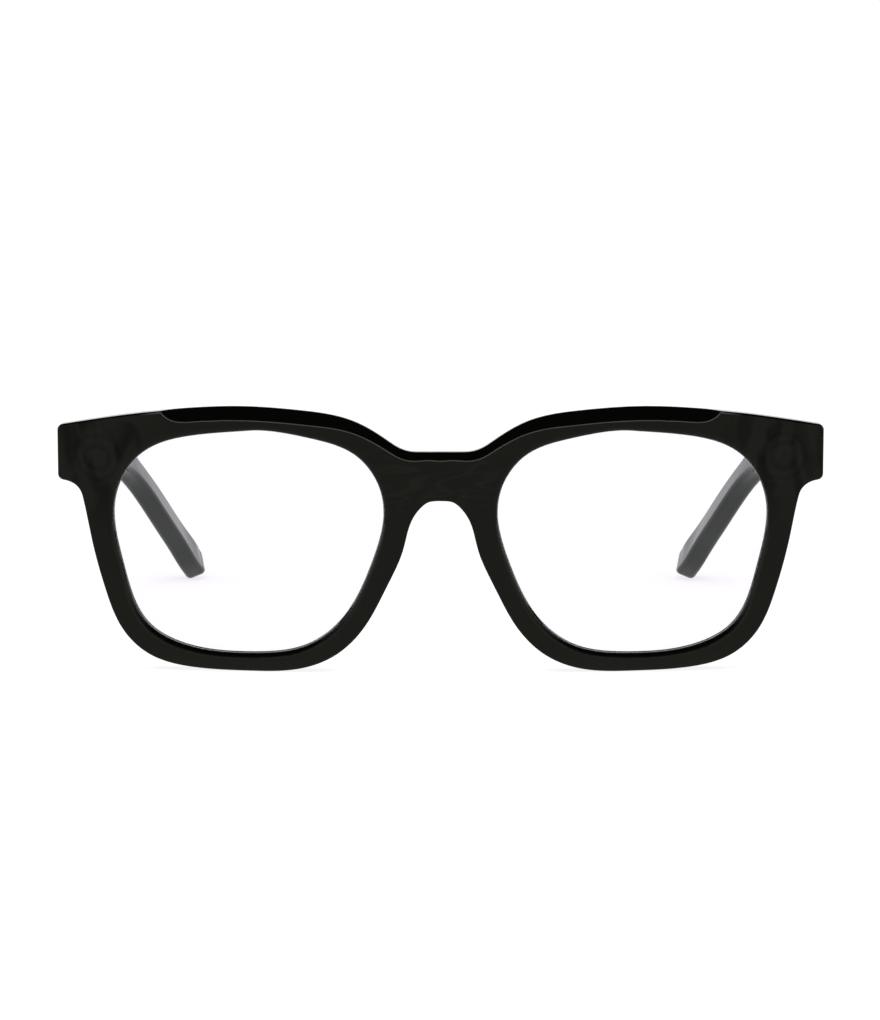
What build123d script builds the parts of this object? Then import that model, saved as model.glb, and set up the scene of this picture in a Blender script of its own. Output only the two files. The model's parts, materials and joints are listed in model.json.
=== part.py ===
from build123d import *
import math
import os

# A pair of clear-lens glasses with spring hinges, in millimetres.
# Origin: on the table, midway between the two rims' lowest points. +Z is up, the front faces -Y,
# the open temples run towards +Y, and +X is the wearer's left. Both halves mirror about X = 0.

# Front frame
FRONT_RADIUS = 400.0          # curve of the front about a vertical axis
FRONT_THICKNESS = 4.2
HALF_WIDTH = 71.6
BRIDGE_TOP = 41.2
BRIDGE_FLAT = 4.5             # half length of the straight top of the bridge
END_TOP = 45.8
END_BOTTOM = 35.6
RIM_SHOULDER = (67.0, 32.5)   # where the end piece's underside meets the rim's side
OUTER_FRONT_ROUND = 0.45
OUTER_BACK_ROUND = 1.0
OPENING_FRONT_ROUND = 1.1
OPENING_BACK_ROUND = 0.4
CORNER_ROUND = 1.15
BEVEL_FACE_ANGLE = 45.0       # brow bevel, from the horizontal
BRIDGE_BEVEL_CUT = 1.1        # how deep the bevel cuts into the top front edge, square to the bevel
BROW_BEVEL_CUT = 1.75
BEVEL_RISE = 0.3              # the cut has grown from bridge to brow by this fraction of the brow curve
BEVEL_FADE = (0.66, 0.74)     # the bevel runs out between these fractions of the brow curve
BEVEL_EDGE_ROUND = 0.22
BEVEL_RUNOUT = 0.2            # how far the bevel ends above the edge it fades into
END_POST_LENGTH = 3.5
FAR = 100.0                   # beyond every side of the front
OVERSHOOT = 1.0               # how far a cutting tool runs past what it cuts
NEAR = 0.1                    # tolerance for picking edges and corners by their place

# Lens
LENS_CENTRE = (35.8, 24.7)    # X and Z
LENS_RADIUS = 132.0
LENS_THICKNESS = 2.0
LENS_EDGE_GAP = 0.05
TONGUE_DEPTHS = (2.15, 3.05)  # edge tongue, measured back from the front face
TONGUE_REACH = 0.55
TONGUE_CHAMFER = 0.3
GROOVE_PLAY = 0.05

# Nose pads, moulded in one piece with the front
PAD_CENTRE = (11.6, 2.9, 17.4)
PAD_HALF_SIZES = (1.7, 6.0, 8.6)
PAD_LEAN = 26.0               # follows the nose flank
PAD_SPLAY = 10.0              # opens towards the face
PAD_ROOT = 1.4                # depth at which the pad starts, inside the rim

# Hinge: pin centre, and the slope of the temples below the horizontal
PIN_X = 65.05
PIN_Y = 13.0
PIN_Z = 40.9
TEMPLE_SLOPE = 4.6
BUTT_FROM_PIN = 0.9           # the temple's end face lies this far in front of the pin
BUTT_GAP = 0.1

# Temple, in hinge coordinates: x outward, y along the temple, z up along the pin
TEMPLE_INNER_FACE = 2.15
TEMPLE_THICKNESS = 4.3
TEMPLE_HEIGHT = 9.2
TEMPLE_STRAIGHT = 78.0
STRAIGHT_DROP = 2.8
BEND_RADIUS = 24.5
BEND_ANGLE = 48.0
HOOK_LENGTH = 27.7
HOOK_LEAN = 28.0              # the hook leans in towards the head
HOOK_ROLL = 0.78              # share of that lean which the hook's section turns through
BEND_HEIGHT = 6.0
TIP_HEIGHT = 7.8
HOOK_THICKNESS = 4.4
TEMPLE_EDGE_ROUND = 1.15
TIP_ROUND = 1.1
TIP_LOWER_ROUND = 2.5         # the hook's lower corner is rounder than its other edges
TIP_EDGE_SHRINK = 0.7         # the section's own corner rounds shrink by this share of the tip's inset

# Spring hinge hardware
ANCHOR_STEPS = (              # half width, half height, front and back of the anchor's web, neck and head
    (1.45, 2.3, -3.7, -2.6),
    (0.9, 1.5, -6.0, -3.6),
    (1.4, 2.1, -6.3, -5.5),
)
PLATE_HALF_WIDTH = 1.45
PLATE_FRONT = -2.6
PLATE_TO_BARREL = 0.15
BARREL_RADIUS = 1.7
EYELET_HEIGHT = 1.9
BARREL_HEIGHT = 1.3
BARREL_GAP = 0.05
SCREW_RADIUS = 0.70           # M1.4
SCREW_HOLE_RADIUS = 0.73
SCREW_HEAD_RADIUS = 1.15
SCREW_HEAD_HEIGHT = 0.6
SCREW_SLOT = (0.3, 0.35)      # width and depth
SCREW_EDGE = 0.15             # chamfer at the foot and round on the head
SCREW_FOOT = 0.1              # how far the shaft shows below the lower barrel
HEAD_PLAY = 0.05              # around the screw's head
HEAD_SUNK = 0.02              # below the upper barrel's top
BUSH_OUTER_RADIUS = 0.97
EYELET_BORE_RADIUS = 1.00
HOUSING_FRONT = 2.3
HOUSING_LENGTH = 12.4
HOUSING_HALF_HEIGHT = 1.95
HOUSING_INNER_FACE = -1.6
HOUSING_SUNK = 0.9            # how deep the housing sits in the temple
HOUSING_ROUND = 0.45
HOUSING_END_WALL = 1.0
CHANNEL_HALF = 1.06
SLIDE_PLAY = 0.05
SLIDER_BODY_END = 5.2
RING_FRONT = 7.0
RING_LENGTH = 0.8
STEM_RADIUS = 0.42
STEM_END = 12.1
STOP_LENGTH = 0.8
STOP_RADIUS = 0.9
SPRING_WIRE_RADIUS = 0.16
SPRING_MEAN_RADIUS = 0.70
SPRING_TURNS = 6
SPRING_SEAT_GAP = 0.02
STUD_RADIUS = 0.6
STUD_LENGTH = 1.1
STUD_POSITIONS = (4.9, 11.6)  # housing studs, along the temple
CORE_WIRE_RADIUS = 0.6
CORE_WIRE_START = 17.0
CORE_WIRE_TIP_MARGIN = 9.0

TEMPLE_CENTRE = TEMPLE_INNER_FACE + TEMPLE_THICKNESS / 2
TEMPLE_LENGTH = TEMPLE_STRAIGHT + BEND_RADIUS * math.radians(BEND_ANGLE) + HOOK_LENGTH
SLOPE = math.radians(TEMPLE_SLOPE)
HINGE = Plane(
    origin=(PIN_X, PIN_Y, PIN_Z),
    x_dir=(1, 0, 0),
    z_dir=(0, math.sin(SLOPE), math.cos(SLOPE)),
)


def front_y(x, depth=0.0):
    """Y of the curved front, `depth` behind its face."""
    return FRONT_RADIUS - math.sqrt((FRONT_RADIUS - depth) ** 2 - x * x)


def front_slab(depth_front, depth_back):
    """Curved sheet between two depths behind the front face."""
    ring = Circle(FRONT_RADIUS - depth_front) - Circle(FRONT_RADIUS - depth_back)
    window = Pos(0, -FRONT_RADIUS) * Rectangle(2 * FAR, FAR)
    sheet = extrude(ring & window, FAR)
    return Pos(0, FRONT_RADIUS, -FAR / 4) * sheet


def prism(outline):
    """Extrudes an outline drawn in X and Z along Y, through the whole front."""
    return extrude(Plane.XZ.offset(FAR / 2) * outline, -FAR)


def lens_outline(grow):
    """Opening of the wearer's left rim, in X and Z, grown outward by `grow`."""
    points = [
        (35.5, 45.05), (47.1, 43.9), (55.65, 40.7), (60.7, 32.85), (59.4, 19.75), (54.45, 8.25), (46.55, 4.35),
        (35.5, 3.35), (24.85, 4.95), (18.65, 9.6), (13.0, 20.0), (10.9, 32.95), (15.65, 40.45), (24.05, 43.65),
    ]
    curve = Spline(*points, periodic=True)
    if grow != 0:
        steps = 42
        curve = Spline(*[step_out(curve, i / steps, grow) for i in range(steps)], periodic=True)
    return make_face(curve)


def step_out(curve, t, distance):
    """Point beside a clockwise curve, this far outside it."""
    tangent = curve % t
    return curve @ t + Vector(-tangent.Y, tangent.X, 0) * distance


def brow_curve():
    """Top edge of the front from the flat of the bridge to the end piece, in X and Z."""
    return Spline(
        (BRIDGE_FLAT, BRIDGE_TOP), (10, 43.4), (16, 46.8), (26, 48.8), (38, 49.5), (52, 48.65),
        (HALF_WIDTH, END_TOP), tangents=[(1, 0), (1, -0.17)],
    )


def front_outline():
    """Whole front seen square on, in X and Z, with the end pieces' corners rounded."""
    bridge = Line((0, BRIDGE_TOP), (BRIDGE_FLAT, BRIDGE_TOP))
    side = Line((HALF_WIDTH, END_TOP), (HALF_WIDTH, END_BOTTOM))
    underside = Spline(
        (HALF_WIDTH, END_BOTTOM), (68.8, 34.9), RIM_SHOULDER,
        tangents=[(-1, -0.1), (-0.25, -1)],
    )
    rim = Spline(
        RIM_SHOULDER, (65.25, 23.95), (62.8, 14.8), (59.5, 7.25), (54.5, 2.75), (47.2, 0.65), (36, 0.03),
        (25.9, 0.6), (19.8, 3.0), (13.8, 9.0), (10.05, 15.95), (6.9, 23.1), (4.95, 29.2), (2.95, 31.5),
        (0, 32.15),
        tangents=[(-0.25, -1), (-1, 0)],
    )
    half = [bridge, brow_curve(), side, underside, rim]
    other_half = [edge.mirror(Plane.YZ) for edge in half]
    face = make_face(Wire(half + other_half))
    corners = [v for v in face.vertices() if abs(v.X) > HALF_WIDTH - NEAR]
    return fillet(corners, CORNER_ROUND)


def bevel_section(x, z, cut):
    """Triangle, square to X, whose long side is the brow bevel at this place along the top edge."""
    angle = math.radians(BEVEL_FACE_ANGLE)
    outward = Vector(0, -math.sin(angle), math.cos(angle))
    along = Vector(0, math.cos(angle), math.sin(angle))
    middle = Vector(x, front_y(x), z) - outward * cut
    reach = 5.0
    corners = [middle + along * reach, middle - along * reach, middle + outward * reach]
    return make_face(Polyline(*corners, close=True))


def bevel_cutter():
    """Solid that takes the bevel off the top front edge, from brow to brow."""
    fade_start, fade_end = BEVEL_FADE
    steps = 25
    half = [(0.0, BRIDGE_TOP, BRIDGE_BEVEL_CUT)]
    curve = brow_curve()
    for i in range(steps):
        t = fade_end * i / (steps - 1)
        cut = blend(BRIDGE_BEVEL_CUT, BROW_BEVEL_CUT, t / BEVEL_RISE)
        faded = blend(0, 1, (t - fade_start) / (fade_end - fade_start))
        cut -= (BROW_BEVEL_CUT + BEVEL_RUNOUT) * smooth(faded)
        point = curve @ t
        half.append((point.X, point.Y, cut))
    other_half = [(-x, z, cut) for x, z, cut in reversed(half[1:])]
    return loft([bevel_section(x, z, cut) for x, z, cut in other_half + half])


def on_front_depth(edge, depth):
    """True where an edge lies on the curved sheet's face at this depth."""
    return all(abs(depth_of(edge @ t) - depth) < 0.01 for t in (0, 0.37, 1))


def edges_at_depth(solid, depth):
    return [edge for edge in solid.edges() if on_front_depth(edge, depth)]


def depth_of(point):
    """How far a point lies behind the curved front face."""
    return FRONT_RADIUS - math.hypot(point.X, point.Y - FRONT_RADIUS)


def soften_bevel(body):
    """Rounds the bevel's upper edge, on the brow's top, and its lower edge, on the front face."""
    bevel_end = HALF_WIDTH * BEVEL_FADE[1]
    upper_limits = (BRIDGE_BEVEL_CUT, FRONT_THICKNESS - OUTER_BACK_ROUND - NEAR)

    def on_brow(edge):
        return (edge @ 0.5).Z > BRIDGE_TOP - 2 * BROW_BEVEL_CUT and abs((edge @ 0.5).X) < bevel_end

    def on_top(edge):
        return upper_limits[0] < depth_of(edge @ 0.5) < upper_limits[1]

    upper = [e for e in body.edges() if on_brow(e) and on_top(e)]
    lower = [e for e in edges_at_depth(body, 0) if on_brow(e)]
    return fillet(upper + lower, BEVEL_EDGE_ROUND)


def both_sides(left):
    return [left, left.mirror(Plane.YZ)]


def edge_tongue(grow, play):
    """Band at mid thickness: the lens's edge tongue, or the rim's groove when `play` is added."""
    front, back = TONGUE_DEPTHS
    sheet = front_slab(front - play, back + play)
    band = sheet & prism(lens_outline(grow))
    rims = edges_at_depth(band, front - play) + edges_at_depth(band, back + play)
    return chamfer(rims, TONGUE_CHAMFER)


def nose_pad():
    """Long rounded fin on the back of the rim, along the nose flank."""
    fin = scale(Sphere(1), by=PAD_HALF_SIZES)
    fin = Pos(*PAD_CENTRE) * Rot(0, 0, -PAD_SPLAY) * Rot(0, -PAD_LEAN, 0) * fin
    return fin & block((-FAR, FAR), (PAD_ROOT, FAR), (0, FAR))


def section_plane(y):
    """Plane square to the temple in hinge coordinates, with its own Y pointing up."""
    return Plane(origin=(0, y, 0), x_dir=(1, 0, 0), z_dir=(0, -1, 0))


def end_post():
    """Rearward end piece that the temple butts against, in hinge coordinates."""
    section = RectangleRounded(TEMPLE_THICKNESS, TEMPLE_HEIGHT, TEMPLE_EDGE_ROUND)
    start = -(BUTT_FROM_PIN + BUTT_GAP)
    return extrude(section_plane(start) * Pos(TEMPLE_CENTRE, 0) * section, END_POST_LENGTH)


def front_frame():
    body = front_slab(0, FRONT_THICKNESS) & prism(front_outline())
    body = fillet(edges_at_depth(body, 0), OUTER_FRONT_ROUND)
    body = fillet(edges_at_depth(body, FRONT_THICKNESS), OUTER_BACK_ROUND)
    body = soften_bevel(body - bevel_cutter())
    for opening in both_sides(prism(lens_outline(0))):
        body -= opening
    for depth, radius in ((0, OPENING_FRONT_ROUND), (FRONT_THICKNESS, OPENING_BACK_ROUND)):
        body = fillet([e for e in edges_at_depth(body, depth) if beside_lens(e)], radius)
    for extra in both_sides(HINGE * end_post()) + both_sides(nose_pad()):
        body += extra
    for groove in both_sides(edge_tongue(TONGUE_REACH, GROOVE_PLAY)):
        body -= groove
    for anchor in both_sides(HINGE * hinge_anchor()):
        body -= anchor
    return body


def beside_lens(edge):
    """True for an edge whose middle lies within the height and width of a lens opening."""
    limits = lens_outline(0).bounding_box()
    middle = edge @ 0.5
    across = limits.min.X - NEAR < abs(middle.X) < limits.max.X + NEAR
    return across and limits.min.Y - NEAR < middle.Z < limits.max.Y + NEAR


def lens():
    x, z = LENS_CENTRE
    normal = Vector(-x / FRONT_RADIUS, math.sqrt(1 - (x / FRONT_RADIUS) ** 2), 0)
    centre = Vector(x, front_y(x), z) + normal * LENS_RADIUS
    shell = Sphere(LENS_RADIUS) - Sphere(LENS_RADIUS - LENS_THICKNESS)
    disc = (Pos(centre.X, centre.Y, centre.Z) * shell) & prism(lens_outline(-LENS_EDGE_GAP))
    tongue = edge_tongue(TONGUE_REACH, 0) - prism(lens_outline(-TONGUE_REACH))
    return disc + tongue


def cylinder_up(radius, low, high):
    """Cylinder along the pin between two heights, in hinge coordinates."""
    return Pos(0, 0, (low + high) / 2) * Cylinder(radius, high - low)


def cylinder_along(radius, start, end):
    """Cylinder along the temple's direction, on the hinge's centre line."""
    return Pos(0, (start + end) / 2, 0) * Rot(90, 0, 0) * Cylinder(radius, end - start)


def block(x, y, z):
    """Box between the low and high limits given for each axis."""
    middle = [(low + high) / 2 for low, high in (x, y, z)]
    size = [high - low for low, high in (x, y, z)]
    return Pos(*middle) * Box(*size)


def hinge_anchor():
    """Part of the front hinge plate that is set in the end piece."""
    web, neck, head = [
        block((-width, width), (front, back), (-height, height)) for width, height, front, back in ANCHOR_STEPS
    ]
    return web + neck + head


def front_hinge_plate():
    low = EYELET_HEIGHT / 2 + BARREL_GAP
    high = low + BARREL_HEIGHT
    width = (-PLATE_HALF_WIDTH, PLATE_HALF_WIDTH)
    web_back = -(BARREL_RADIUS + PLATE_TO_BARREL)
    plate = hinge_anchor() + block(width, (PLATE_FRONT, web_back), (-high, high))
    for sign in (1, -1):
        ends = sorted((sign * low, sign * high))
        plate += cylinder_up(BARREL_RADIUS, *ends)
        plate += block(width, (web_back, 0), ends)
    plate -= cylinder_up(SCREW_HOLE_RADIUS, -high - OVERSHOOT, high + OVERSHOOT)
    plate -= cylinder_up(SCREW_HEAD_RADIUS + HEAD_PLAY, high - SCREW_HEAD_HEIGHT, high + OVERSHOOT)
    return plate


def hinge_screw():
    high = EYELET_HEIGHT / 2 + BARREL_GAP + BARREL_HEIGHT
    shaft = cylinder_up(SCREW_RADIUS, -high - SCREW_FOOT, high - SCREW_HEAD_HEIGHT / 2)
    shaft = chamfer(shaft.edges().sort_by(Axis.Z)[0], SCREW_EDGE)
    head = cylinder_up(SCREW_HEAD_RADIUS, high - SCREW_HEAD_HEIGHT + HEAD_SUNK, high - HEAD_SUNK)
    head = fillet(head.edges().sort_by(Axis.Z)[-1], SCREW_EDGE)
    width, depth = SCREW_SLOT
    slot = block((-BARREL_RADIUS, BARREL_RADIUS), (-width / 2, width / 2), (high - depth, high + OVERSHOOT))
    return shaft + head - slot


def hinge_bush():
    half = EYELET_HEIGHT / 2
    return cylinder_up(BUSH_OUTER_RADIUS, -half, half) - cylinder_up(SCREW_HOLE_RADIUS, -half, half)


def slider():
    half = EYELET_HEIGHT / 2
    width = CHANNEL_HALF - SLIDE_PLAY
    body = cylinder_up(BARREL_RADIUS, -half, half)
    body += block((-width, width), (0, SLIDER_BODY_END), (-half, half))
    body += cylinder_along(STEM_RADIUS, SLIDER_BODY_END - OVERSHOOT, STEM_END)
    return body - cylinder_up(EYELET_BORE_RADIUS, -half - OVERSHOOT, half + OVERSHOOT)


def housing_shell():
    """Outside of the spring housing, with its two anchoring studs."""
    back = HOUSING_FRONT + HOUSING_LENGTH
    sunk = TEMPLE_INNER_FACE + HOUSING_SUNK
    high = HOUSING_HALF_HEIGHT
    shell = block((HOUSING_INNER_FACE, sunk), (HOUSING_FRONT, back), (-high, high))
    inner_edges = shell.faces().sort_by(Axis.X)[0].edges()
    shell = fillet(inner_edges, HOUSING_ROUND)
    for y in STUD_POSITIONS:
        shell += Pos(sunk + STUD_LENGTH / 2, y, 0) * Rot(0, 90, 0) * Cylinder(STUD_RADIUS, STUD_LENGTH)
    return shell


def spring_housing():
    channel_end = HOUSING_FRONT + HOUSING_LENGTH - HOUSING_END_WALL
    channel = block((-CHANNEL_HALF, CHANNEL_HALF), (0, channel_end), (-CHANNEL_HALF, CHANNEL_HALF))
    return housing_shell() - channel


def spring_guide_ring():
    back = RING_FRONT + RING_LENGTH
    ring = block((-CHANNEL_HALF, CHANNEL_HALF), (RING_FRONT, back), (-CHANNEL_HALF, CHANNEL_HALF))
    return ring - cylinder_along(STEM_RADIUS + SLIDE_PLAY, RING_FRONT - OVERSHOOT, back + OVERSHOOT)


def spring_stop():
    start = STEM_END - STOP_LENGTH
    collar = cylinder_along(STOP_RADIUS, start, STEM_END)
    return collar - cylinder_along(STEM_RADIUS, start - OVERSHOOT, STEM_END + OVERSHOOT)


def spring():
    margin = SPRING_WIRE_RADIUS + SPRING_SEAT_GAP
    start = RING_FRONT + RING_LENGTH + margin
    end = STEM_END - STOP_LENGTH - margin
    path = Helix(pitch=(end - start) / SPRING_TURNS, height=end - start, radius=SPRING_MEAN_RADIUS)
    wire = sweep(Plane(origin=path @ 0, z_dir=path % 0) * Circle(SPRING_WIRE_RADIUS), path=path)
    return Pos(0, start, 0) * Rot(-90, 0, 0) * wire


def temple_place(s):
    """Section plane, with Y up the temple's height, at arc length s behind the hinge, in hinge coordinates."""
    bend_angle = math.radians(BEND_ANGLE)
    bend_length = BEND_RADIUS * bend_angle
    angle = min(max((s - TEMPLE_STRAIGHT) / BEND_RADIUS, 0), bend_angle)
    lean = math.radians(HOOK_LEAN) * smooth(angle / bend_angle)
    beyond = max(s - TEMPLE_STRAIGHT - bend_length, 0)
    y = min(s, TEMPLE_STRAIGHT) + BEND_RADIUS * math.sin(angle) + beyond * math.cos(angle)
    fall = BEND_RADIUS * (1 - math.cos(angle)) + beyond * math.sin(angle)
    drop = STRAIGHT_DROP * min(max(s, 0) / TEMPLE_STRAIGHT, 1)
    centre = (TEMPLE_CENTRE - fall * math.sin(lean), y, -drop - fall * math.cos(lean))
    forward = Vector(-math.sin(angle) * math.sin(lean), math.cos(angle), -math.sin(angle) * math.cos(lean))
    rolled = Vector(math.cos(lean), 0, -math.sin(lean))
    level = forward.cross(Vector(0, 0, 1)).normalized()
    across = rolled * HOOK_ROLL + level * (1 - HOOK_ROLL)
    return Plane(origin=centre, x_dir=across, z_dir=-forward)


def smooth(t):
    return t * t * (3 - 2 * t)


def blend(a, b, t):
    return a + (b - a) * min(max(t, 0), 1)


def temple_section(s):
    if s < TEMPLE_STRAIGHT:
        t = s / TEMPLE_STRAIGHT
        height = blend(TEMPLE_HEIGHT, BEND_HEIGHT, t)
        thickness = blend(TEMPLE_THICKNESS, HOOK_THICKNESS, t)
    else:
        t = (s - TEMPLE_STRAIGHT) / (TEMPLE_LENGTH - TEMPLE_STRAIGHT)
        height = blend(BEND_HEIGHT, TIP_HEIGHT, t)
        thickness = HOOK_THICKNESS
    return temple_place(s) * RectangleRounded(thickness, height, TEMPLE_EDGE_ROUND)


def temple_blank():
    steps = 16
    return loft([temple_section(blend(-BUTT_FROM_PIN, TEMPLE_LENGTH, i / steps)) for i in range(steps + 1)])


def inset_of_round(distance, radius):
    """How far a rounded edge has curved in, `distance` along from where the round begins."""
    reach = min(max(distance, 0), radius)
    return radius - math.sqrt(radius * radius - reach * reach)


def tip_section(distance):
    """Section of the rounded tip, `distance` beyond the start of its lower corner's round."""
    side = inset_of_round(distance - TIP_LOWER_ROUND + TIP_ROUND, TIP_ROUND)
    bottom = inset_of_round(distance, TIP_LOWER_ROUND)
    thickness = HOOK_THICKNESS - 2 * side
    height = TIP_HEIGHT - side - bottom
    place = temple_place(TEMPLE_LENGTH + distance) * Pos(0, (bottom - side) / 2)
    return place * RectangleRounded(thickness, height, TEMPLE_EDGE_ROUND - TIP_EDGE_SHRINK * side)


def temple_tip():
    distances = [TIP_LOWER_ROUND * math.sin(math.radians(a)) for a in (0, 18, 34, 48, 60, 72, 83)]
    return loft([tip_section(d) for d in distances])


def core_wire():
    end = TEMPLE_LENGTH - CORE_WIRE_TIP_MARGIN
    steps = 12
    places = [temple_place(blend(CORE_WIRE_START, end, i / steps)) for i in range(steps + 1)]
    path = Spline(*[place.origin for place in places])
    return sweep(Plane(origin=path @ 0, z_dir=path % 0) * Circle(CORE_WIRE_RADIUS), path=path)


def temple():
    return temple_blank() + temple_tip() - housing_shell() - core_wire()


def export(nodes):
    os.makedirs("parts", exist_ok=True)
    for name, solid in nodes.items():
        export_step(solid, f"parts/{name}.step")


def build_nodes():
    """Every node, keyed by name. Paired pieces are made for the wearer's left and mirrored."""
    nodes = {"front_frame": front_frame()}
    left = {
        "lens": lens(),
        "temple": HINGE * temple(),
        "core_wire": HINGE * core_wire(),
        "front_hinge_plate": HINGE * front_hinge_plate(),
        "spring_housing": HINGE * spring_housing(),
        "slider": HINGE * slider(),
        "spring": HINGE * spring(),
        "spring_stop": HINGE * spring_stop(),
        "spring_guide_ring": HINGE * spring_guide_ring(),
        "hinge_screw": HINGE * hinge_screw(),
        "hinge_bush": HINGE * hinge_bush(),
    }
    for name, solid in left.items():
        nodes[f"left_{name}"] = solid
        nodes[f"right_{name}"] = solid.mirror(Plane.YZ)
    return nodes


export(build_nodes())
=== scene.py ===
import json
import math

import bpy
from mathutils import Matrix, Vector


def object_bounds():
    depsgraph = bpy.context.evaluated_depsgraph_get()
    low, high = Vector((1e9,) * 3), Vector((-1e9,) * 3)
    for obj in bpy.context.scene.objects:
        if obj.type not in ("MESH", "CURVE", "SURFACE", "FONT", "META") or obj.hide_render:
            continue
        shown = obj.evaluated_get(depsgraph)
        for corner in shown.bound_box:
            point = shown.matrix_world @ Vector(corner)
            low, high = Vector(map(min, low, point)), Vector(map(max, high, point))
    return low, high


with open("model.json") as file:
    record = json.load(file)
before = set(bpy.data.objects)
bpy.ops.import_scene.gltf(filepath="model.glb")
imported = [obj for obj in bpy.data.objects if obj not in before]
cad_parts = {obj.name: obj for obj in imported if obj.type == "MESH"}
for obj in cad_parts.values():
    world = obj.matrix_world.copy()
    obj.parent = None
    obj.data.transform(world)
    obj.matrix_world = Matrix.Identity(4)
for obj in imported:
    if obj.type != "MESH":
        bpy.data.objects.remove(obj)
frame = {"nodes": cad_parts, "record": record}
CAD_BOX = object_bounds()
NODES = frame["nodes"]
HIGH = Vector(CAD_BOX[1])

# Camera, at the photograph's viewing angle
VIEW_ELEVATION = math.radians(7.5)
VIEW_DISTANCE = 0.600
FRONT_SCALE = 5.39e3          # picture points per metre at the front
PICTURE_SIZE = (880, 1020)
SENSOR = 36.0
VIEW_DROP = 31.1 / 1020       # the glasses sit a little below the picture's middle
VIEW_ASIDE = -0.6 / 1020

# Moulding marks, as distances from the middle, in metres
END_SWIRLS = (0.051, 0.058)
END_SWIRLS_LOW = (0.026, 0.034)
BRIDGE_SWIRLS = (0.008, 0.014)
BRIDGE_SWIRLS_LOW = (0.029, 0.033)
FRONT_BACK = (0.0112, 0.0118) # the front piece ends, and the temples begin, between these Y values
SWIRL_SCALE = 330.0
END_STREAK_STRETCH = (0.8, 1, 0.28)
BRIDGE_LINE_STRETCH = (0.14, 1, 0.8)
BRIDGE_LINE_WAVES = 40.0
SINK_CENTRE = (0.0650, 0.006, 0.0412)
SINK_RING = 0.0019
SINK_RADIUS = 0.0065
SINK_WAVER = 0.0022           # how far the rings stray from circles

# Openings' walls beside and behind the lens edge, left unpolished
FRONT_RADIUS = 0.400
LENS_CENTRE = (0.0358, 0.0247)
WALL_DEPTHS = (0.0018, 0.0021, 0.0042, 0.0046)

# Painted highlight along the bevel's lower edge: where the surface turns from the face to the bevel
BEVEL_EDGE_TURN = (0.08, 0.20, 0.48, 0.62)    # upward part of the surface's direction
BEVEL_EDGE_LOW = 0.036                        # the openings' lower edges lie below this height
BEVEL_EDGE_ENDS = (0.052, 0.056)              # the bevel has run out beyond these distances from the middle

# Plastic: colours, gloss, wear and painted edge highlights
PLASTIC_DARKS = ((0.0030, 0.0042, 0.0012), (0.0046, 0.0034, 0.0038))
REFLECTION_TINTS = ((0.94, 1.04, 0.80), (1.03, 1.0, 0.92))
TOP_EDGE_TINT = (1.0, 0.62, 0.55)
TOP_EDGE_TURN = (0.74, 0.84, 0.96, 0.99)      # upward part of the surface's direction
GLOSS = 0.5
WALL_GLOSS = 0.1                              # share of the gloss left on the unpolished walls
WALL_ROUGHNESS = 0.6
# sharp edges lightened in colour: partly wear, partly a painted edge highlight
WORN_AND_HIGHLIGHT_RADIUS = 0.00012
WORN_AND_HIGHLIGHT_COLOUR = (0.20, 0.21, 0.18)
WORN_AND_HIGHLIGHT_SHARE = 0.8
# colour of the painted highlight line along the bevel's lower edge
BEVEL_EDGE_HIGHLIGHT_COLOUR = (0.30, 0.31, 0.27)
DUST_COLOUR = (0.16, 0.16, 0.15)
DUST_SPACING = 0.0032
DUST_SIZE = 0.022
DUST_SHARE = 0.12
WAVE_HEIGHT = 0.00011

# Glass and metal
REFRACTION = 1.5
LENS_SWELL = 0.00001
STEEL_GRAIN = 0.000004
SHADE_REACH = 0.012           # how far from the glasses the floor is shaded

# Light: a white studio behind and beside the glasses, dim in front and dark overhead
SEEN_WHITE = 1.12             # floor and backdrop as the camera sees them
BACK_WHITE = 1.0
HORIZON_SKY = 0.32            # in front, just above the floor
LOW_SKY = 0.42                # in front, a little higher
FRONT_SKY = 0.13
OVERHEAD = 0.02
FLOOR_TONES = ((-0.30, 0.26), (-0.02, 0.29), (0.04, 0.42), (0.12, 1.0))    # Y in metres, and brightness there
FLOOR_REACH = 6.0


# ---------------------------------------------------------------- node helpers

def new_material(name):
    material = bpy.data.materials.new(name)
    material.use_nodes = True
    tree = material.node_tree
    tree.nodes.clear()
    output = tree.nodes.new("ShaderNodeOutputMaterial")
    shader = tree.nodes.new("ShaderNodeBsdfPrincipled")
    tree.links.new(shader.outputs[0], output.inputs["Surface"])
    return material, tree, shader


def noise(tree, coords, scale, detail=4.0, roughness=0.5, distortion=0.0):
    node = tree.nodes.new("ShaderNodeTexNoise")
    node.inputs["Scale"].default_value = scale
    node.inputs["Detail"].default_value = detail
    node.inputs["Roughness"].default_value = roughness
    node.inputs["Distortion"].default_value = distortion
    tree.links.new(coords, node.inputs["Vector"])
    return node


def ramp(tree, value, low, high, from_value, to_value):
    node = tree.nodes.new("ShaderNodeMapRange")
    node.inputs["From Min"].default_value = low
    node.inputs["From Max"].default_value = high
    node.inputs["To Min"].default_value = from_value
    node.inputs["To Max"].default_value = to_value
    tree.links.new(value, node.inputs["Value"])
    return node.outputs["Result"]


def bump(tree, height, strength, distance, before=None):
    node = tree.nodes.new("ShaderNodeBump")
    node.inputs["Strength"].default_value = strength
    node.inputs["Distance"].default_value = distance
    tree.links.new(height, node.inputs["Height"])
    if before is not None:
        tree.links.new(before, node.inputs["Normal"])
    return node.outputs["Normal"]


def object_coords(tree):
    return tree.nodes.new("ShaderNodeTexCoord").outputs["Object"]


def math_node(tree, operation, first, second=None):
    node = tree.nodes.new("ShaderNodeMath")
    node.operation = operation
    for socket, value in zip(node.inputs, (first, second)):
        if isinstance(value, (int, float)):
            socket.default_value = value
        elif value is not None:
            tree.links.new(value, socket)
    return node.outputs[0]


def split_xyz(tree, vector):
    node = tree.nodes.new("ShaderNodeSeparateXYZ")
    tree.links.new(vector, node.inputs[0])
    return node.outputs


def product(tree, first, *others):
    for other in others:
        first = math_node(tree, "MULTIPLY", first, other)
    return first


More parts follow.
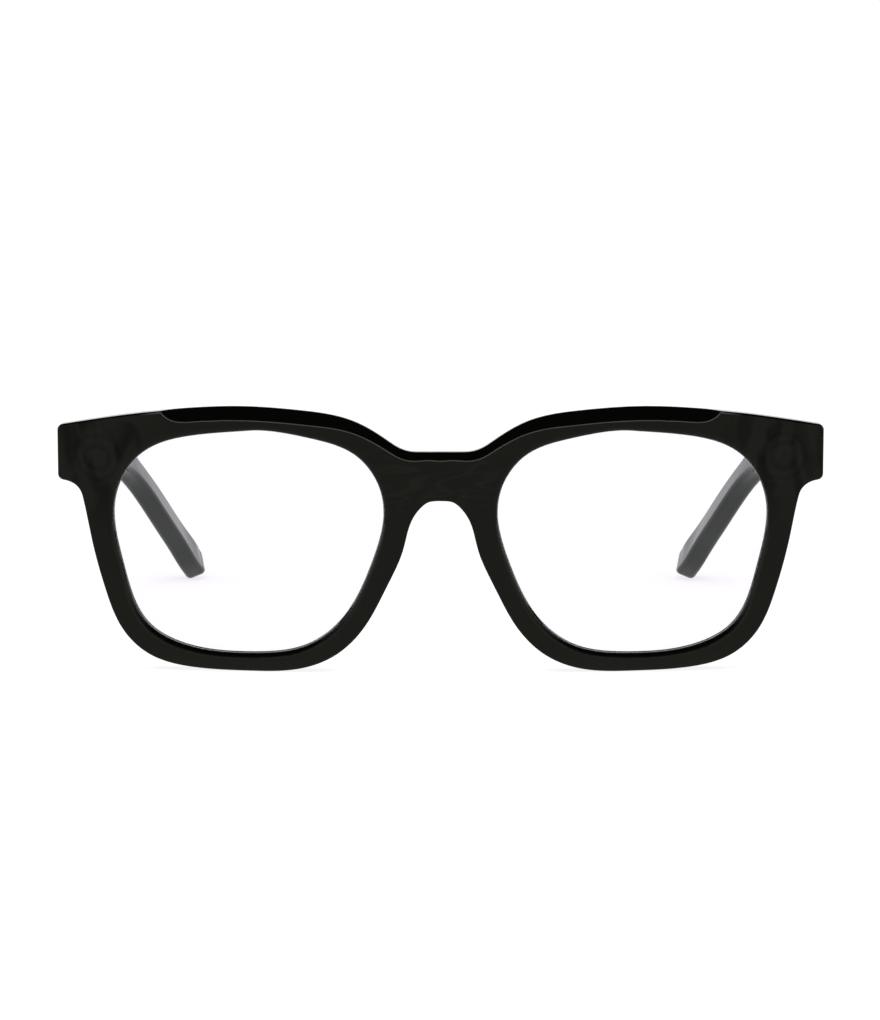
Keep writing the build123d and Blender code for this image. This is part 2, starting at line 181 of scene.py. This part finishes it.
def mix_colour(tree, amount, first, second):
    node = tree.nodes.new("ShaderNodeMix")
    node.data_type = "RGBA"
    tree.links.new(amount, node.inputs["Factor"])
    for socket, value in ((node.inputs["A"], first), (node.inputs["B"], second)):
        if isinstance(value, tuple):
            socket.default_value = (*value, 1)
        else:
            tree.links.new(value, socket)
    return node.outputs["Result"]


def edge_mask(tree, radius, start, end):
    """One along sharp edges and nothing elsewhere, for wear and a painted edge highlight."""
    rounded = tree.nodes.new("ShaderNodeBevel")
    rounded.samples = 6
    rounded.inputs["Radius"].default_value = radius
    plain = tree.nodes.new("ShaderNodeNewGeometry").outputs["Normal"]
    dot = tree.nodes.new("ShaderNodeVectorMath")
    dot.operation = "DOT_PRODUCT"
    tree.links.new(rounded.outputs[0], dot.inputs[0])
    tree.links.new(plain, dot.inputs[1])
    return ramp(tree, dot.outputs["Value"], start, end, 1.0, 0.0)


def dust_mask(tree, coords, spacing, size, share):
    """Tiny round specks, `spacing` apart, kept in only a share of the places."""
    cells = tree.nodes.new("ShaderNodeTexVoronoi")
    cells.inputs["Scale"].default_value = 1 / spacing
    tree.links.new(coords, cells.inputs["Vector"])
    near = ramp(tree, cells.outputs["Distance"], size * 0.6, size, 1.0, 0.0)
    pick = tree.nodes.new("ShaderNodeSeparateColor")
    tree.links.new(cells.outputs["Color"], pick.inputs[0])
    kept = math_node(tree, "LESS_THAN", pick.outputs[0], share)
    return math_node(tree, "MULTIPLY", near, kept)


# ---------------------------------------------------------------- materials

def sink_rings(tree, coords):
    """Wavering rings over each hinge anchor, from -1 to 1, that fade out with distance."""
    folded = tree.nodes.new("ShaderNodeVectorMath")
    folded.operation = "ABSOLUTE"
    tree.links.new(coords, folded.inputs[0])
    bend = noise(tree, coords, 260.0, 2.0)
    shift = tree.nodes.new("ShaderNodeVectorMath")
    shift.operation = "MULTIPLY_ADD"
    tree.links.new(bend.outputs["Color"], shift.inputs[0])
    shift.inputs[1].default_value = (SINK_WAVER, 0, SINK_WAVER)
    tree.links.new(folded.outputs[0], shift.inputs[2])
    offset = tree.nodes.new("ShaderNodeVectorMath")
    offset.operation = "DISTANCE"
    tree.links.new(shift.outputs[0], offset.inputs[0])
    offset.inputs[1].default_value = SINK_CENTRE
    far = offset.outputs["Value"]
    wave = math_node(tree, "SINE", math_node(tree, "MULTIPLY", far, 2 * math.pi / SINK_RING))
    fade = ramp(tree, far, SINK_RADIUS * 0.4, SINK_RADIUS, 1.0, 0.0)
    return math_node(tree, "MULTIPLY", wave, fade)


def flow_pattern(tree, coords, stretch):
    """Smooth noise drawn out in the directions where `stretch` is small."""
    scaled = tree.nodes.new("ShaderNodeMapping")
    scaled.inputs["Scale"].default_value = stretch
    tree.links.new(coords, scaled.inputs["Vector"])
    return noise(tree, scaled.outputs[0], SWIRL_SCALE, 1.0, 0.4, 1.0).outputs["Fac"]


def flow_marks(tree, coords):
    """Change in gloss: dark streaks and rings on the end pieces, fine light lines on the bridge."""
    place = split_xyz(tree, coords)
    aside = math_node(tree, "ABSOLUTE", place["X"])
    on_front = ramp(tree, place["Y"], *FRONT_BACK, 1.0, 0.0)
    on_end = product(tree, on_front, ramp(tree, aside, *END_SWIRLS, 0.0, 1.0))
    on_end = product(tree, on_end, ramp(tree, place["Z"], *END_SWIRLS_LOW, 0.0, 1.0))
    on_bridge = product(tree, on_front, ramp(tree, aside, *BRIDGE_SWIRLS, 1.0, 0.0))
    on_bridge = product(tree, on_bridge, ramp(tree, place["Z"], *BRIDGE_SWIRLS_LOW, 0.0, 1.0))
    streaks = ramp(tree, flow_pattern(tree, coords, END_STREAK_STRETCH), 0.42, 0.62, 0.12, -0.12)
    rings = ramp(tree, sink_rings(tree, coords), -0.4, 0.9, 0.0, -0.12)
    wavy = product(tree, flow_pattern(tree, coords, BRIDGE_LINE_STRETCH), BRIDGE_LINE_WAVES)
    contours = math_node(tree, "SINE", wavy)
    lines = ramp(tree, contours, -0.2, 1.0, 0.0, 0.13)
    ends = product(tree, on_end, math_node(tree, "ADD", streaks, rings))
    return math_node(tree, "ADD", ends, product(tree, on_bridge, lines))


def rear_wall(tree, coords):
    """One on the openings' walls beside and behind the lens edge."""
    place = split_xyz(tree, coords)
    facing = split_xyz(tree, tree.nodes.new("ShaderNodeNewGeometry").outputs["Normal"])
    aside = math_node(tree, "ABSOLUTE", place["X"])
    sagitta = math_node(tree, "DIVIDE", product(tree, aside, aside), 2 * FRONT_RADIUS)
    depth = math_node(tree, "SUBTRACT", place["Y"], sagitta)
    outward = product(tree, facing["X"], math_node(tree, "SIGN", place["X"]))
    across = product(tree, math_node(tree, "SUBTRACT", aside, LENS_CENTRE[0]), outward)
    upward = product(tree, math_node(tree, "SUBTRACT", place["Z"], LENS_CENTRE[1]), facing["Z"])
    inward = ramp(tree, math_node(tree, "ADD", across, upward), -0.010, -0.006, 1.0, 0.0)
    start, full, fall, end = WALL_DEPTHS
    deep = product(tree, ramp(tree, depth, start, full, 0.0, 1.0), ramp(tree, depth, fall, end, 1.0, 0.0))
    return product(tree, deep, inward)


def painted_bevel_highlight(tree, coords):
    """Painted highlight: one along the rounded edge between the front's face and its brow bevel."""
    turn = split_xyz(tree, tree.nodes.new("ShaderNodeNewGeometry").outputs["Normal"])
    place = split_xyz(tree, coords)
    begin, full, fall, end = BEVEL_EDGE_TURN
    mask = ramp(tree, turn["Z"], begin, full, 0.0, 1.0)
    mask = product(tree, mask, ramp(tree, turn["Z"], fall, end, 1.0, 0.0))
    mask = product(tree, mask, ramp(tree, turn["Y"], -0.6, -0.5, 1.0, 0.0))
    mask = product(tree, mask, math_node(tree, "GREATER_THAN", place["Z"], BEVEL_EDGE_LOW))
    aside = math_node(tree, "ABSOLUTE", place["X"])
    return product(tree, mask, ramp(tree, aside, *BEVEL_EDGE_ENDS, 1.0, 0.0))


def black_plastic():
    material, tree, shader = new_material("gloss_black_plastic")
    coords = object_coords(tree)
    patches = noise(tree, coords, 320.0, 2.0)
    base = mix_colour(tree, patches.outputs["Fac"], *PLASTIC_DARKS)
    # sharp edges lightened: partly wear, partly a painted edge highlight
    worn_and_highlit = edge_mask(tree, WORN_AND_HIGHLIGHT_RADIUS, 0.88, 0.97)
    base = mix_colour(tree, product(tree, worn_and_highlit, WORN_AND_HIGHLIGHT_SHARE), base, WORN_AND_HIGHLIGHT_COLOUR)
    # painted highlight line along the bevel's lower edge
    base = mix_colour(tree, painted_bevel_highlight(tree, coords), base, BEVEL_EDGE_HIGHLIGHT_COLOUR)
    dust = dust_mask(tree, coords, DUST_SPACING, DUST_SIZE, DUST_SHARE)
    base = mix_colour(tree, dust, base, DUST_COLOUR)
    tree.links.new(base, shader.inputs["Base Color"])
    tint = mix_colour(tree, patches.outputs["Fac"], *REFLECTION_TINTS)
    facing_up = split_xyz(tree, tree.nodes.new("ShaderNodeNewGeometry").outputs["Normal"])["Z"]
    begin, full, fall, end = TOP_EDGE_TURN
    top_edge = product(
        tree, ramp(tree, facing_up, begin, full, 0.0, 1.0), ramp(tree, facing_up, fall, end, 1.0, 0.0)
    )
    tint = mix_colour(tree, top_edge, tint, TOP_EDGE_TINT)
    tree.links.new(tint, shader.inputs["Specular Tint"])
    shader.inputs["IOR"].default_value = REFRACTION
    wall = rear_wall(tree, coords)
    gloss = math_node(tree, "ADD", GLOSS, flow_marks(tree, coords))
    polished = product(tree, gloss, ramp(tree, wall, 0.0, 1.0, 1.0, WALL_GLOSS))
    tree.links.new(polished, shader.inputs["Specular IOR Level"])
    smudge = noise(tree, coords, 160.0)
    smooth = ramp(tree, smudge.outputs["Fac"], 0.3, 0.7, 0.035, 0.085)
    tree.links.new(choose(tree, wall, smooth, WALL_ROUGHNESS), shader.inputs["Roughness"])
    waves = noise(tree, coords, 90.0, 3.0, 0.5, 0.6)
    tree.links.new(bump(tree, waves.outputs["Fac"], 1.0, WAVE_HEIGHT), shader.inputs["Normal"])
    return material


def lens_glass():
    """Clear coated glass whose ground edge, which the rim holds, is frosted."""
    material, tree, glass = new_material("coated_lens")
    coords = object_coords(tree)
    glass.inputs["Base Color"].default_value = (0.96, 0.94, 1.0, 1)
    glass.inputs["Transmission Weight"].default_value = 1.0
    glass.inputs["Roughness"].default_value = 0.0
    glass.inputs["IOR"].default_value = REFRACTION
    glass.inputs["Specular IOR Level"].default_value = 0.25
    glass.inputs["Specular Tint"].default_value = (0.75, 0.85, 1.0, 1)
    swell = noise(tree, coords, 25.0, 1.0)
    tree.links.new(bump(tree, swell.outputs["Fac"], 1.0, LENS_SWELL), glass.inputs["Normal"])
    ground = tree.nodes.new("ShaderNodeBsdfPrincipled")
    grain = noise(tree, coords, 1500.0, 3.0)
    ground.inputs["Base Color"].default_value = (0.035, 0.036, 0.036, 1)
    tree.links.new(ramp(tree, grain.outputs["Fac"], 0.3, 0.7, 0.45, 0.65), ground.inputs["Roughness"])
    facing = split_xyz(tree, tree.nodes.new("ShaderNodeNewGeometry").outputs["True Normal"])
    sideways = ramp(tree, math_node(tree, "ABSOLUTE", facing["Y"]), 0.55, 0.65, 1.0, 0.0)
    both = tree.nodes.new("ShaderNodeMixShader")
    tree.links.new(sideways, both.inputs[0])
    tree.links.new(glass.outputs[0], both.inputs[1])
    tree.links.new(ground.outputs[0], both.inputs[2])
    output = next(node for node in tree.nodes if node.type == "OUTPUT_MATERIAL")
    tree.links.new(both.outputs[0], output.inputs["Surface"])
    return material


def steel(name, colour, roughness):
    material, tree, shader = new_material(name)
    coords = object_coords(tree)
    shader.inputs["Base Color"].default_value = (*colour, 1)
    shader.inputs["Metallic"].default_value = 1.0
    grain = noise(tree, coords, 600.0, 3.0)
    uneven = ramp(tree, grain.outputs["Fac"], 0.3, 0.7, roughness * 0.7, roughness * 1.3)
    tree.links.new(uneven, shader.inputs["Roughness"])
    tree.links.new(bump(tree, grain.outputs["Fac"], 1.0, STEEL_GRAIN), shader.inputs["Normal"])
    return material


def nylon():
    material, tree, shader = new_material("natural_nylon")
    coords = object_coords(tree)
    shader.inputs["Base Color"].default_value = (0.82, 0.82, 0.78, 1)
    grain = noise(tree, coords, 700.0)
    tree.links.new(ramp(tree, grain.outputs["Fac"], 0.3, 0.7, 0.35, 0.5), shader.inputs["Roughness"])
    return material


def paint(piece, material):
    piece.data.materials.clear()
    piece.data.materials.append(material)


def paint_nodes():
    plastic = black_plastic()
    glass = lens_glass()
    hinge_steel = steel("satin_hinge_steel", (0.62, 0.61, 0.60), 0.3)
    wire_steel = steel("drawn_wire", (0.45, 0.45, 0.46), 0.35)
    screw_steel = steel("screw_steel", (0.7, 0.7, 0.7), 0.2)
    white_nylon = nylon()
    by_slot = {
        "frame_plastic": plastic,
        "lens": glass,
        "hinge_steel": hinge_steel,
        "spring_steel": wire_steel,
        "steel_wire": wire_steel,
        "screw_steel": screw_steel,
        "nylon": white_nylon,
    }
    for subpart in frame["record"]["subparts"]:
        paint(NODES[subpart["node"]], by_slot[subpart["material_slot"]])


# ---------------------------------------------------------------- springs

def middle_of(piece):
    corners = [Vector(corner) for corner in piece.bound_box]
    return sum(corners, Vector()) / len(corners)


def compress_spring(side):
    """Shortens a spring between its guide ring and its stop as the housing slides back."""
    coil = NODES[f"{side}_spring"]
    ring = NODES[f"{side}_spring_guide_ring"]
    along = (middle_of(NODES[f"{side}_spring_stop"]) - middle_of(ring)).normalized()
    places = [vertex.co.dot(along) for vertex in coil.data.vertices]
    first, last = min(places), max(places)
    follows = coil.vertex_groups.new(name="follows_ring")
    for index, place in enumerate(places):
        follows.add([index], (last - place) / (last - first), "REPLACE")
    pull = coil.modifiers.new("spring_pull", "HOOK")
    pull.object = ring
    pull.vertex_group = follows.name
    pull.matrix_inverse = ring.matrix_world.inverted() @ coil.matrix_world


# ---------------------------------------------------------------- stage, light and camera

def emitter(name, colour, strength):
    material = bpy.data.materials.new(name)
    material.use_nodes = True
    tree = material.node_tree
    tree.nodes.clear()
    output = tree.nodes.new("ShaderNodeOutputMaterial")
    shader = tree.nodes.new("ShaderNodeEmission")
    shader.inputs["Color"].default_value = (*colour, 1)
    shader.inputs["Strength"].default_value = strength
    tree.links.new(shader.outputs[0], output.inputs["Surface"])
    return material


def sheet(name, corners, material):
    mesh = bpy.data.meshes.new(name)
    mesh.from_pydata([tuple(c) for c in corners], [], [tuple(range(len(corners)))])
    piece = bpy.data.objects.new(name, mesh)
    bpy.context.scene.collection.objects.link(piece)
    paint(piece, material)
    return piece


def is_seen(tree):
    """One for what the camera sees directly or straight through a lens, nothing for light and reflections."""
    path = tree.nodes.new("ShaderNodeLightPath")
    unreflected = math_node(tree, "LESS_THAN", path.outputs["Glossy Depth"], 0.5)
    through_lens = math_node(tree, "MULTIPLY", path.outputs["Is Transmission Ray"], unreflected)
    return math_node(tree, "MAXIMUM", path.outputs["Is Camera Ray"], through_lens)


def choose(tree, factor, when_zero, when_one):
    """Number that changes from the first value to the second with the factor."""
    node = tree.nodes.new("ShaderNodeMix")
    tree.links.new(factor, node.inputs["Factor"])
    for socket, value in ((node.inputs["A"], when_zero), (node.inputs["B"], when_one)):
        if isinstance(value, (int, float)):
            socket.default_value = value
        else:
            tree.links.new(value, socket)
    return node.outputs["Result"]


def floor_material():
    """Pale floor: bright behind the glasses, dimmer in front, softly shaded where something stands on it."""
    material = emitter("pale_floor", (1, 1, 1), 1.0)
    tree = material.node_tree
    shader = tree.nodes["Emission"]
    along = split_xyz(tree, object_coords(tree))["Y"]
    (start, tone), *others = FLOOR_TONES
    for stop, next_tone in others:
        step = ramp(tree, along, start, stop, 0.0, 1.0)
        tone = choose(tree, step, tone, next_tone)
        start = stop
    nearness = tree.nodes.new("ShaderNodeAmbientOcclusion")
    nearness.inputs["Distance"].default_value = SHADE_REACH
    nearness.samples = 8
    shade = ramp(tree, nearness.outputs["AO"], 0.35, 0.95, 0.80, 1.0)
    seen = math_node(tree, "MULTIPLY", shade, SEEN_WHITE)
    tree.links.new(choose(tree, is_seen(tree), tone, seen), shader.inputs["Strength"])
    return material


def sky():
    world = bpy.data.worlds.new("studio")
    bpy.context.scene.world = world
    world.use_nodes = True
    tree = world.node_tree
    background = tree.nodes["Background"]
    background.inputs["Color"].default_value = (1, 1, 1, 1)
    towards = split_xyz(tree, tree.nodes.new("ShaderNodeTexCoord").outputs["Generated"])
    height = towards["Z"]
    low = ramp(tree, height, 0.0, 0.16, HORIZON_SKY, LOW_SKY)
    front = choose(tree, ramp(tree, height, 0.18, 0.45, 0.0, 1.0), low, FRONT_SKY)
    behind = ramp(tree, towards["Y"], -0.45, 0.1, 0.0, 1.0)
    around = choose(tree, behind, front, BACK_WHITE)
    overhead = ramp(tree, height, 0.45, 0.75, 0.0, 1.0)
    light = choose(tree, overhead, around, OVERHEAD)
    tree.links.new(choose(tree, is_seen(tree), light, SEEN_WHITE), background.inputs["Strength"])


def stage():
    reach = FLOOR_REACH
    corners = [(-reach, -reach, 0), (reach, -reach, 0), (reach, reach, 0), (-reach, reach, 0)]
    sheet("floor", corners, floor_material())
    sky()


def camera():
    data = bpy.data.cameras.new("camera")
    data.sensor_fit = "VERTICAL"
    data.sensor_height = SENSOR
    data.lens = SENSOR * FRONT_SCALE * VIEW_DISTANCE / PICTURE_SIZE[1]
    data.shift_y = VIEW_DROP
    data.shift_x = VIEW_ASIDE
    data.clip_start = 0.01
    piece = bpy.data.objects.new("camera", data)
    bpy.context.scene.collection.objects.link(piece)
    centre = Vector((0, 0, HIGH.z / 2))
    away = Vector((0, -math.cos(VIEW_ELEVATION), math.sin(VIEW_ELEVATION)))
    piece.location = centre + away * VIEW_DISTANCE
    piece.rotation_euler = (-away).to_track_quat("-Z", "Y").to_euler()
    bpy.context.scene.camera = piece
    bpy.context.scene.view_settings.view_transform = "Standard"


paint_nodes()
for wearer_side in ("left", "right"):
    compress_spring(wearer_side)
stage()
camera()
